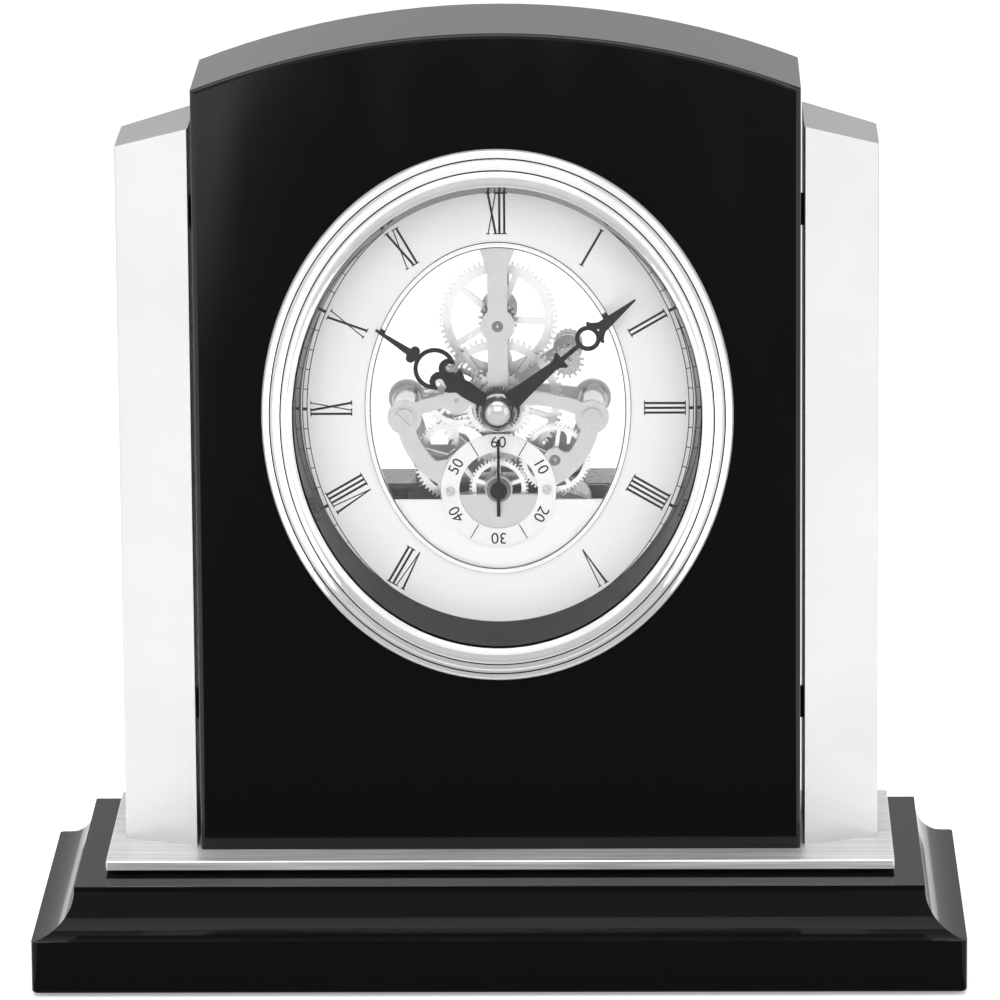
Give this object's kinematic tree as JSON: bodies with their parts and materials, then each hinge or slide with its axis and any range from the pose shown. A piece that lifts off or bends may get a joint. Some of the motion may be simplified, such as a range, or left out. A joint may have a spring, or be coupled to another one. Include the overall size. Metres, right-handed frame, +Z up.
{
  "type": "mantel clock",
  "caption": "Black mantel clock with silver pillars, stepped plinth, oval chrome bezel and a skeleton quartz movement with working wheels and hands.",
  "frame": {"origin": "on the table under the middle of the plinth's footprint", "axes": "+Z up, the dial faces -Y, +X to the viewer's right; X along the plinth's long side"},
  "size_m": [0.229, 0.1054, 0.2329],
  "materials": {
    "lacquer": "high gloss black piano lacquer over fibreboard",
    "felt": "black wool felt",
    "spacer_black": "matte black",
    "plate_steel": "brushed left to right, polished edge",
    "screw_steel": "zinc plated",
    "pillar_alu": "fine satin silver",
    "bezel_chrome": "mirror chrome",
    "glass": "clear mineral glass",
    "gasket_black": "black",
    "rehaut_chrome": "polished inner ring",
    "rehaut_black": "gloss black wall between glass and dial",
    "knob_pale": "ribbed pale nylon",
    "dial_silver": "satin silver white",
    "carrier_black": "matte black",
    "movement_plate": "flat satin grey",
    "post_metal": "turned and polished",
    "bright_screw": "polished slotted heads",
    "seconds_white": "satin white print ground",
    "wheel_silver": "pale silver",
    "arbor_steel": "turned",
    "bushing_grey": "dull",
    "hand_black": "satin black",
    "collet_black": "black",
    "nut_silver": "satin polished dome",
    "stator_iron": "pressed silicon iron",
    "coil_copper": "enamelled copper wire on a bobbin",
    "magnet_white": "moulded with a ferrite magnet",
    "motor_grey": "moulded",
    "box_grey": "dark grey moulded",
    "cell_jacket": "plain printed jacket with bare ends",
    "contact_spring": "nickel plated",
    "board_green": "solder mask with parts",
    "knob_black": "ribbed",
    "door_black": "satin black",
    "pane": "clear acrylic",
    "hinge_steel": "nickel plated"
  },
  "bodies": {
    "case": {"felt_feet": "felt", "plinth": "lacquer", "plate_spacer": "spacer_black", "base_plate": "plate_steel", "case_screws": "screw_steel", "pillar_screws": "screw_steel", "case_body": "lacquer", "pillar_left": "pillar_alu", "pillar_right": "pillar_alu", "pillar_spacers": "gasket_black", "bezel": "bezel_chrome", "glass": "glass", "glass_gasket": "gasket_black", "rehaut": "rehaut_black", "dial_ring": "dial_silver", "dial_carrier": "carrier_black", "inner_rim": "rehaut_chrome", "mask_plate": "dial_silver", "front_plate": "movement_plate", "rear_plate": "movement_plate", "plate_posts": "post_metal", "plate_screws": "bright_screw", "rear_screws": "bright_screw", "seconds_dial": "seconds_white", "seconds_dial_screws": "bright_screw", "pivot_bushings": "bushing_grey", "motion_stud": "arbor_steel", "stator": "stator_iron", "coil": "coil_copper", "motor_bridge": "motor_grey", "motor_carrier": "motor_grey", "battery_box": "box_grey", "battery": "cell_jacket", "battery_contacts": "contact_spring", "circuit_board": "board_green", "door_hinges": "hinge_steel"},
    "seconds_set": {"seconds_wheel": "wheel_silver", "seconds_arbor": "arbor_steel", "seconds_hand": "hand_black"},
    "idler_set": {"idler_wheel": "wheel_silver", "idler_arbor": "arbor_steel"},
    "step_set": {"step_wheel": "magnet_white"},
    "rotor_set": {"rotor": "magnet_white"},
    "third_set": {"third_wheel": "wheel_silver", "third_arbor": "arbor_steel"},
    "minute_set": {"centre_wheel": "wheel_silver", "centre_arbor": "arbor_steel", "minute_hand": "hand_black", "hand_nut": "nut_silver"},
    "display_set": {"display_wheel": "wheel_silver", "display_arbor": "arbor_steel"},
    "motion_set": {"motion_wheel": "wheel_silver"},
    "hour_set": {"hour_wheel": "wheel_silver", "hour_collet": "collet_black", "hour_hand": "hand_black"},
    "setting_set": {"setting_arbor": "arbor_steel", "setting_knob": "knob_pale"},
    "door": {"rear_door": "door_black", "rear_window": "pane", "door_pull": "knob_black"}
  },
  "joints": [
    {"name": "seconds_spin", "type": "hinge", "parent": "case", "child": "seconds_set", "pos_m": [0, 0, 0.1174], "axis": [0, 1, 0], "continuous": true},
    {"name": "idler_spin", "type": "hinge", "parent": "case", "child": "idler_set", "pos_m": [0.0139, 0, 0.1248], "axis": [0, 1, 0], "continuous": true},
    {"name": "step_spin", "type": "hinge", "parent": "case", "child": "step_set", "pos_m": [0.01731, 0, 0.11432], "axis": [0, 1, 0], "continuous": true},
    {"name": "rotor_spin", "type": "hinge", "parent": "case", "child": "rotor_set", "pos_m": [0.01528, 0, 0.10873], "axis": [0, 1, 0], "continuous": true},
    {"name": "third_spin", "type": "hinge", "parent": "case", "child": "third_set", "pos_m": [-0.0102, 0, 0.1237], "axis": [0, 1, 0], "continuous": true},
    {"name": "minute_spin", "type": "hinge", "parent": "case", "child": "minute_set", "pos_m": [0, 0, 0.1381], "axis": [0, 1, 0], "continuous": true},
    {"name": "display_spin", "type": "hinge", "parent": "case", "child": "display_set", "pos_m": [0, 0, 0.15844], "axis": [0, 1, 0], "continuous": true},
    {"name": "motion_spin", "type": "hinge", "parent": "case", "child": "motion_set", "pos_m": [-0.0102, 0, 0.14], "axis": [0, 1, 0], "continuous": true},
    {"name": "hour_spin", "type": "hinge", "parent": "case", "child": "hour_set", "pos_m": [0, 0, 0.1381], "axis": [0, 1, 0], "continuous": true},
    {"name": "setting_spin", "type": "hinge", "parent": "case", "child": "setting_set", "pos_m": [0.01698, 0, 0.1479], "axis": [0, 1, 0], "continuous": true},
    {"name": "door_hinge", "type": "hinge", "parent": "case", "child": "door", "pos_m": [0.063, 0.0282, 0.1381], "axis": [0, 0, -1], "range_deg": [0, 110]}
  ],
  "couplings": [
    {"joint": "idler_spin", "follows": "seconds_spin", "ratio": -0.81818},
    {"joint": "step_spin", "follows": "seconds_spin", "ratio": 3},
    {"joint": "rotor_spin", "follows": "seconds_spin", "ratio": -30},
    {"joint": "third_spin", "follows": "seconds_spin", "ratio": -0.13333},
    {"joint": "minute_spin", "follows": "seconds_spin", "ratio": 0.016667},
    {"joint": "display_spin", "follows": "seconds_spin", "ratio": -0.05614},
    {"joint": "motion_spin", "follows": "seconds_spin", "ratio": -0.0055556},
    {"joint": "hour_spin", "follows": "seconds_spin", "ratio": 0.0013889},
    {"joint": "setting_spin", "follows": "seconds_spin", "ratio": -0.066667}
  ]
}
